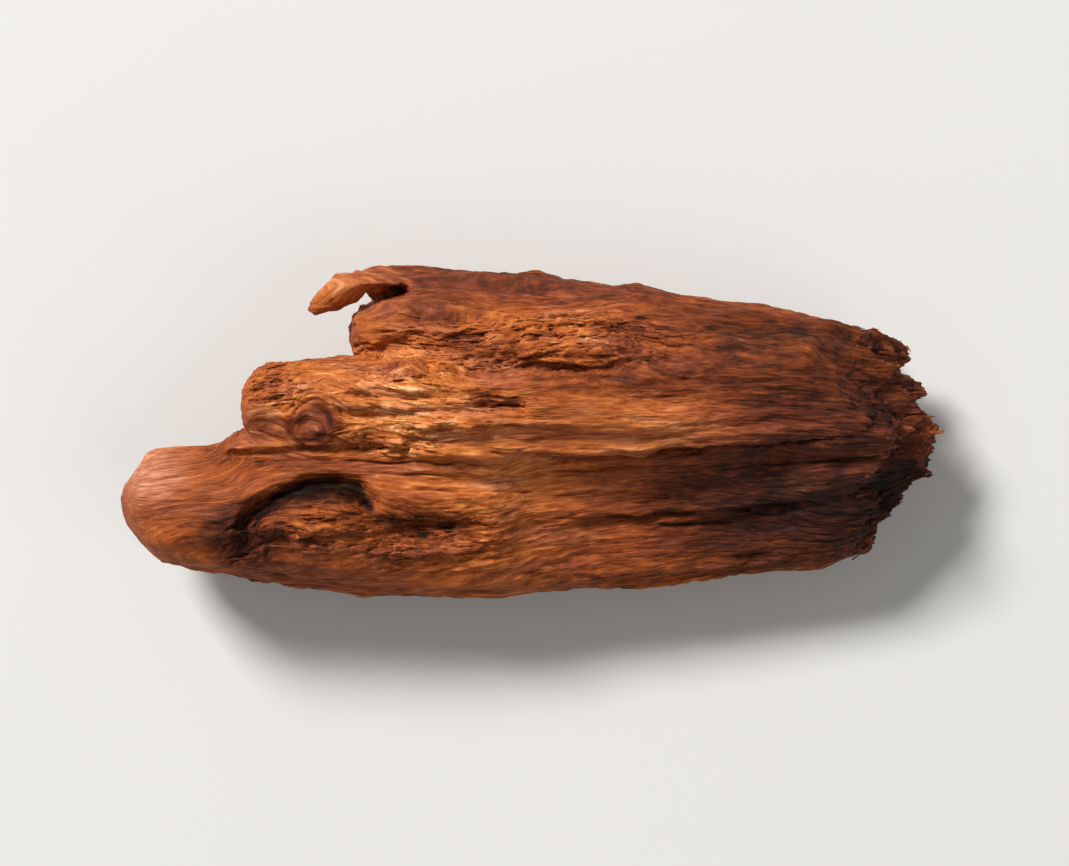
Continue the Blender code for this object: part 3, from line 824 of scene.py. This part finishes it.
def sculptChunk(wood):
    mesh = wood.data
    points = pointsOf(mesh)
    normals = normalsOf(mesh)
    facing = longFacing(points, normals)
    top = rise(points[:, 2], *carving["topHeight"]) * rise(normals[:, 2], *carving["topFacing"])
    grain = grainAt(points, top, facing)
    swing = wander["reach"] * np.array([
        noise.noise((x / wander["length"], y / wander["width"], wander["offset"])) for x, y, _ in points])
    worn = shareOf(points, wornAreas) * np.maximum(top, rise(points[:, 0], *carving["lobe"]))
    elsewhere = patchesAt(grain, carving["patches"]) * (1 - top)
    torn = np.maximum(shareOf(points, tornAreas) * top, carving["patches"]["share"] * elsewhere)
    torn *= 1 - carving["tornWear"] * worn
    endFace = rise(points[:, 0], *carving["end"]) * rise(normals[:, 0], *carving["endFacing"])
    acrossFace = rise(np.abs(normals[:, 0]), *carving["acrossFacing"])  # fibres end here
    run = grainRun(points, top, facing)
    cut = rise(np.abs(np.sum(run * normals, axis=1)), *carving["cutFacing"])
    crumbled = shareOf(points, crumbAreas) * top
    sides, sound = carving["sideStrands"], carving["soundFlakes"]
    height = strandHeight(grain) * (1 - carving["strandWear"] * worn) * (sides - (sides - 1) * top)
    height += flakeHeight(grain) * (sound + (1 - sound) * torn)
    height -= slitDepth(grain) * (1 - carving["slitWear"] * worn)
    height *= 1 - np.maximum(carving["acrossWear"], worn) * acrossFace
    crumbHeight, crumbOwn = crumbsAt(points)
    height += crumbHeight * crumbled
    height += knotRings(points, "height") * top
    height += (strokesAt(points, lips, "height", swing) - strokesAt(points, grooves, "depth", swing)) * top
    moved = points + normals * height[:, None]
    ragged = carving["ragged"] * cut * (1 - endFace) * (1 - carving["raggedWear"] * worn)
    moved[:, 0] += brokenEnd(points) * (endFace + ragged)
    moved = np.clip(moved, np.array(cadLow) / mm, np.array(cadHigh) / mm)
    setPoints(mesh, moved)
    print("chunk carved")
    fields = {"grain": grain, "torn": torn, "top": top, "endFace": endFace, "cut": cut}
    return fields, run, (crumbOwn - 0.5) * crumbled


toneAreas = [
    # painted highlight: paler on the top-left of the rounded end, together with its worn wood
    {"centre": (-32.6, -3.2), "radii": (5.2, 3.4), "tone": 0.22},
    {"centre": (-15.6, 12.8), "radii": (5.4, 2.2), "tone": 0.15},
    {"centre": (-12.4, 9.9), "radii": (5.0, 3.0), "tone": 0.08},
    {"centre": (-8.4, 8.4), "radii": (5.0, 3.0), "tone": 0.08},
    {"centre": (-10.5, 2.4), "radii": (13.0, 6.2), "tone": 0.32},
    {"centre": (-9.5, -9.6), "radii": (8.0, 3.0), "tone": -0.07},
    {"centre": (-17.6, -8.4), "radii": (5.0, 3.0), "tone": -0.06},
    {"centre": (-21.0, -1.0), "radii": (6.0, 1.8), "tone": 0.16},
    {"centre": (-31.0, -8.0), "radii": (4.5, 3.5), "tone": 0.05},
    {"centre": (2.0, 7.8), "radii": (11.0, 3.6), "tone": 0.03},
    # darker at the top right: partly darker resinous wood, partly painted shade
    {"centre": (18.0, 8.0), "radii": (7.0, 3.6), "tone": -0.07},
    {"centre": (-20.0, 2.6), "radii": (5.0, 4.0), "tone": 0.10},
    {"centre": (-18.5, 0.9), "radii": (3.4, 3.2), "tone": -0.14},
    {"centre": (-3.0, -3.8), "radii": (15.0, 4.4), "tone": 0.25},
    {"centre": (-9.5, -2.4), "radii": (7.0, 1.8), "tone": -0.12},
    {"centre": (8.0, 0.6), "radii": (14.0, 2.8), "tone": 0.12},
    # darker towards the lower right and the broken end: darker resinous wood and painted shade together
    {"centre": (12.0, -5.0), "radii": (14.0, 5.0), "tone": -0.05},
    {"centre": (27.0, -7.0), "radii": (20.0, 8.0), "tone": -0.40},
    {"centre": (26.0, 4.0), "radii": (14.0, 7.0), "tone": -0.20},
    # darker along the top band at the back: its own darker wood and painted shade together
    {"centre": (0.0, 13.0), "radii": (20.0, 2.6), "tone": -0.12},
    {"centre": (-24.3, -8.8), "radii": (4.6, 3.8), "tone": -0.30},
    {"centre": (-9.6, -7.8), "radii": (4.4, 2.2), "tone": -0.14},
    {"centre": (-5.8, 7.2), "radii": (2.6, 1.6), "tone": -0.14},
    {"centre": (8.6, 8.9), "radii": (4.4, 1.6), "tone": -0.12},
    {"centre": (9.0, 5.2), "radii": (8.0, 1.8), "tone": -0.08},
    {"centre": (-2.9, 2.7), "radii": (2.4, 1.0), "tone": -0.22},
    {"centre": (-4.0, 0.6), "radii": (2.0, 0.9), "tone": -0.14},
]
rosyAreas = [
    # pale pinkish on the rounded end: its worn wood and a painted sheen
    {"centre": (-33.4, -3.6), "radii": (6.4, 4.2), "share": 1.0},
    {"centre": (-12.6, 11.0), "radii": (4.0, 1.8), "share": 0.60},
    {"centre": (2.0, 13.4), "radii": (28.0, 3.0), "share": 0.7},
    {"centre": (28.0, -2.0), "radii": (24.0, 9.0), "share": 0.7},
    {"centre": (-23.6, 0.6), "radii": (3.6, 2.4), "share": 0.8},
    {"centre": (-18.5, 0.9), "radii": (2.2, 2.2), "share": 1.0},
]
# Painted shade: darker along the hollow under the arc, and along the foot of the tongue's ledge
paintedShadeStrokes = [
    {"line": [(-23.4, -7.2), (-21.8, -5.9), (-19.6, -5.1), (-16.9, -4.7), (-15.0, -5.2), (-13.8, -6.4)],
     "width": 1.7, "tone": -0.42},
    {"line": [(0.0, -2.0), (6.4, -2.4), (13.0, -2.0), (20.0, -1.5)], "width": 0.9, "tone": -0.10},
]

paint = {
    "fineRounds": 8,  # of blur that take the fine crests out, and a crest's usual height
    "fineHeight": 0.06,
    "broadRounds": 110,  # the same for the broad swells
    "broadHeight": 0.5,
    "facingRounds": 30,  # and for the normals of the fibres
    "topHeight": (5.0, 9.0),  # the tones of the upper face begin from one height to the other
    "clouds": {"size": (14, 7, 7), "seed": 71, "tone": 0.12},
    "rosySides": {"size": (16, 7, 7), "seed": 72, "range": (-0.3, 0.5), "share": 0.75},
    "rosyStreaks": {"size": (6, 1.1, 1.1), "seed": 73, "range": (-0.1, 0.5), "share": 0.55},
    "endBundles": {"size": (10, 0.9, 0.6), "seed": 56, "tone": 0.24},
    "endCalm": 0.8,  # how much less the relief of the broken end shows in its tone: the painted highlight of its fine crests, and the painted shade and highlight of its broad swells
}
painted = ("grain", "torn", "cut", "crest", "swell", "tone", "rosy")  # the fields that the material reads


def paintChunk(wood, fields, crumbShade):
    mesh = wood.data
    points = pointsOf(mesh)
    normals = normalsOf(mesh)
    edges = edgesOf(mesh)
    fine = np.sum((points - blurred(points, edges, paint["fineRounds"])) * normals, axis=1)
    broad = np.sum((points - blurred(points, edges, paint["broadRounds"])) * normals, axis=1)
    clouds, bundles = paint["clouds"], paint["endBundles"]
    tone = sum(area["tone"] * ovalAt(points, area) ** 0.5 for area in toneAreas)  # the root fills them out
    # the painted shade along the hollow under the arc and along the ledge's foot
    tone += sum(stroke["tone"] * strokeShare(points, stroke, 0.0) for stroke in paintedShadeStrokes)
    tone += knotRings(points, "tone")
    tone = tone * rise(points[:, 2], *paint["topHeight"])
    tone += clouds["tone"] * noiseAt(points, clouds["size"], clouds["seed"])
    bundle = cellsAt(points, bundles["size"], bundles["seed"])[2]
    tone += bundles["tone"] * (bundle - 0.5) * fields["endFace"]
    tone += crumbs["shade"] * crumbShade
    sides, streaks = paint["rosySides"], paint["rosyStreaks"]
    rosy = np.max([area["share"] * shareOf(points, [area]) for area in rosyAreas], axis=0) * fields["top"]
    rosy += sides["share"] * patchesAt(points, sides) * (1 - fields["top"])
    rosy = np.maximum(rosy, streaks["share"] * patchesAt(fields["grain"], streaks))
    calm = 1 - paint["endCalm"] * fields["endFace"]
    # the fine crests and broad swells, which the material turns into painted shade and painted highlight
    crest, swell = fine / paint["fineHeight"], broad / paint["broadHeight"]
    fields.update({"crest": np.minimum(crest, calm * np.abs(crest)), "swell": calm * swell, "tone": tone,
                   "rosy": rosy})
    for name in painted:
        addAttribute(mesh, name, fields[name])
    print("chunk painted")
    return points, broadNormals(mesh, paint["facingRounds"])


def thinOut(wood):  # keeps the triangles where the surface bends
    faces = sum(len(face.vertices) - 2 for face in wood.data.polygons)
    scaleTo(wood, (1 / chunk["squeeze"], 1, 1))
    addModifier(wood, "DECIMATE", {"ratio": chunk["triangles"] / faces})
    scaleTo(wood, (chunk["squeeze"], 1, 1))


def keepOneBody(piece):  # removes the loose specks that thinning leaves
    select(piece)
    bpy.ops.object.mode_set(mode="EDIT")
    bpy.ops.mesh.select_mode(type="VERT")
    bpy.ops.mesh.select_all(action="DESELECT")
    bpy.ops.object.mode_set(mode="OBJECT")
    before = len(piece.data.vertices)
    piece.data.vertices[0].select = True
    bpy.ops.object.mode_set(mode="EDIT")
    bpy.ops.mesh.select_linked()
    bpy.ops.mesh.select_all(action="INVERT")
    bpy.ops.mesh.delete(type="VERT")
    bpy.ops.object.mode_set(mode="OBJECT")
    print("loose points removed:", before - len(piece.data.vertices))


def finish(piece):
    scaleTo(piece, (mm, mm, mm))
    bpy.ops.object.shade_smooth()
    piece.data.materials.append(agarwood)
    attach(piece, "root")
    print(piece.name, len(piece.data.polygons), "faces")


wood = chunkMesh()
evenChunk(wood)
fields, chunkRun, crumbShade = sculptChunk(wood)
chunkPoints, chunkFacing = paintChunk(wood, fields, crumbShade)
thinOut(wood)
keepOneBody(wood)
woodSurface = BVHTree.FromObject(wood, bpy.context.evaluated_depsgraph_get())
finish(wood)
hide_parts("agarwood_piece")

# Torn fibres and splinters that lie on the chunk

fibreSets = [
    {"on": "torn", "count": 3000, "length": (0.7, 2.0), "width": (0.12, 0.24), "lift": 0.05},
    {"on": "torn", "count": 360, "length": (2.0, 4.0), "width": (0.20, 0.44), "lift": 0.02},
    {"on": "endFace", "count": 130, "length": (0.5, 1.7), "width": (0.22, 0.50), "lift": 0.00},
]
fibreForm = {
    "rings": 4,
    "sink": 0.09,  # how deep the root is set
    "flatness": 0.5,
    "curl": 0.04,
    "taper": 0.7,
    "crests": (0.2, 2.0),  # they lie on crests from this height to that
    "steepest": 0.5,  # none lies where the grain runs more steeply into the surface
    "drop": 0.4,  # nor where the wood falls away below it
    "inside": 0.5,  # the share of one that is inside the broken end
    # the crest that a fibre carries is kept below this, so its painted highlight is no paler
    "palest": 1.0,
    "toneSpread": 0.06,
    "seed": 83,
}


def nearestOn(surface, points):
    return np.array([surface.find_nearest(Vector(point))[0] for point in points])


def fibreParts(fibreSet, surface, draws):
    atEnd = fibreSet["on"] == "endFace"
    weight = fields[fibreSet["on"]] * rise(fields["crest"], *fibreForm["crests"]) + 1e-9
    chosen = draws.choice(len(weight), fibreSet["count"], replace=False, p=weight / weight.sum())
    run = chunkRun[chosen]
    flat = np.abs(np.sum(run * chunkFacing[chosen], axis=1)) < fibreForm["steepest"]
    if not atEnd:
        chosen, run = chosen[flat], run[flat]
    count = len(chosen)
    root, normal = chunkPoints[chosen], chunkFacing[chosen]
    if atEnd:
        normal = np.cross(np.cross(run, normal), run)
    else:
        run -= normal * np.sum(run * normal, axis=1, keepdims=True)
        run *= draws.choice((-1.0, 1.0), (count, 1))
    run /= np.linalg.norm(run, axis=1, keepdims=True) + 1e-6
    normal /= np.linalg.norm(normal, axis=1, keepdims=True) + 1e-6
    side = np.cross(normal, run)
    length = draws.uniform(*fibreSet["length"], (count, 1))
    width = draws.uniform(*fibreSet["width"], (count, 1)) / 2
    lift = fibreSet["lift"] * draws.uniform(0, 1, (count, 1))
    curl = fibreForm["curl"] * draws.normal(size=(count, 1))
    rings = fibreForm["rings"]
    corners = []
    kept = np.ones(count, bool)
    for share in np.arange(rings + 1) / rings:
        middle = root + run * length * share + side * curl * length * share ** 2
        if atEnd:
            middle -= run * fibreForm["inside"] * length
        else:
            straight = middle
            middle = nearestOn(surface, straight)
            kept &= np.linalg.norm(middle - straight, axis=1) < fibreForm["drop"]
            middle += normal * (lift * length * share ** 2 - fibreForm["sink"] * (1 - share))
        half = width * (1 - share) ** fibreForm["taper"]
        if share == 1:
            corners.append(middle)
            break
        for a, b in ((1, 0), (0, 1), (-1, 0), (0, -1)):
            corners.append(middle + side * a * half + normal * b * half * fibreForm["flatness"])
    points = np.stack(corners, axis=1)
    values = {name: np.repeat(fields[name][chosen][:, None], points.shape[1], axis=1) for name in painted}
    values["crest"] = np.minimum(values["crest"], fibreForm["palest"])
    values["tone"] = values["tone"] + fibreForm["toneSpread"] * draws.normal(size=(count, 1))
    steps = np.repeat(np.arange(rings + 1), [4] * rings + [1])
    values["grain"][:, :, 0] += length * steps / rings
    return points[kept], {name: values[name][kept] for name in values}


def fibreFaces():  # the faces of one fibre
    rings = fibreForm["rings"]
    faces = [(3, 2, 1, 0)]
    for ring in range(rings - 1):
        for k in range(4):
            a, b = 4 * ring + k, 4 * ring + (k + 1) % 4
            faces.append((a, b, b + 4, a + 4))
    tip = 4 * rings
    faces += [(tip - 4 + k, tip - 4 + (k + 1) % 4, tip) for k in range(4)]
    return faces


def makeFibres(surface):
    draws = np.random.default_rng(fibreForm["seed"])
    sets = [fibreParts(fibreSet, surface, draws) for fibreSet in fibreSets]
    points = np.concatenate([part for part, _ in sets])
    count, corners = points.shape[:2]
    points = np.clip(points.reshape(-1, 3), np.array(cadLow) / mm, np.array(cadHigh) / mm)
    faces = [[corners * i + k for k in face] for i in range(count) for face in fibreFaces()]
    mesh = bpy.data.meshes.new("tornFibres")
    mesh.from_pydata(points, [], faces)
    for name in painted:
        values = np.concatenate([part[name] for _, part in sets])
        addAttribute(mesh, name, values.reshape(count * corners, *values.shape[2:]))
    fibres = bpy.data.objects.new("tornFibres", mesh)
    bpy.context.scene.collection.objects.link(fibres)
    finish(fibres)


makeFibres(woodSurface)

# The stage

stage = {
    "frameWidth": 0.092,
    "frameCentre": (0.0001, 0.0000, 0.012),  # the frame has its width at this height
    "lens": 100.0,
    "sensor": 36.0,
    "floorSize": 20.0,
    "floorColour": (208, 206, 202),
    "floorRoughness": 0.8,
    "keyPlace": (-0.90, 1.02, 1.26),
    "keySize": 0.48,
    "keyPower": 48.6,
    "fillPlace": (1.35, -0.90, 1.50),
    "fillSize": 1.8,
    "fillPower": 9.9,
    "sky": 0.26,
}


def addArea(name, place, size, power):
    bpy.ops.object.light_add(type="AREA", location=place)
    light = bpy.context.object
    light.name = name
    light.data.size = size
    light.data.energy = power
    light.rotation_euler = (-Vector(place)).to_track_quat("-Z", "Y").to_euler()


def makeFloor():
    bpy.ops.mesh.primitive_plane_add(size=stage["floorSize"])
    floor = bpy.context.object
    floor.name = "floor"
    board = Board("paleFloor")
    board.feed(board.surface.inputs["Base Color"], (*linear(stage["floorColour"]), 1))
    board.feed(board.surface.inputs["Roughness"], stage["floorRoughness"])
    floor.data.materials.append(board.material)


def makeLights():
    addArea("key", stage["keyPlace"], stage["keySize"], stage["keyPower"])
    addArea("fill", stage["fillPlace"], stage["fillSize"], stage["fillPower"])
    world = bpy.data.worlds.new("studio")
    bpy.context.scene.world = world
    world.use_nodes = True
    background = world.node_tree.nodes["Background"]
    background.inputs["Color"].default_value = (1, 1, 1, 1)
    background.inputs["Strength"].default_value = stage["sky"]
    bpy.context.scene.view_settings.view_transform = "Standard"


def makeCamera():
    x, y, z = stage["frameCentre"]
    distance = stage["frameWidth"] * stage["lens"] / stage["sensor"]
    bpy.ops.object.camera_add(location=(x, y, distance + z), rotation=(0, 0, 0))
    camera = bpy.context.object
    camera.data.lens = stage["lens"]
    camera.data.sensor_width = stage["sensor"]
    camera.data.clip_start = 0.01
    bpy.context.scene.camera = camera


makeFloor()
makeLights()
makeCamera()
print("stage ready")
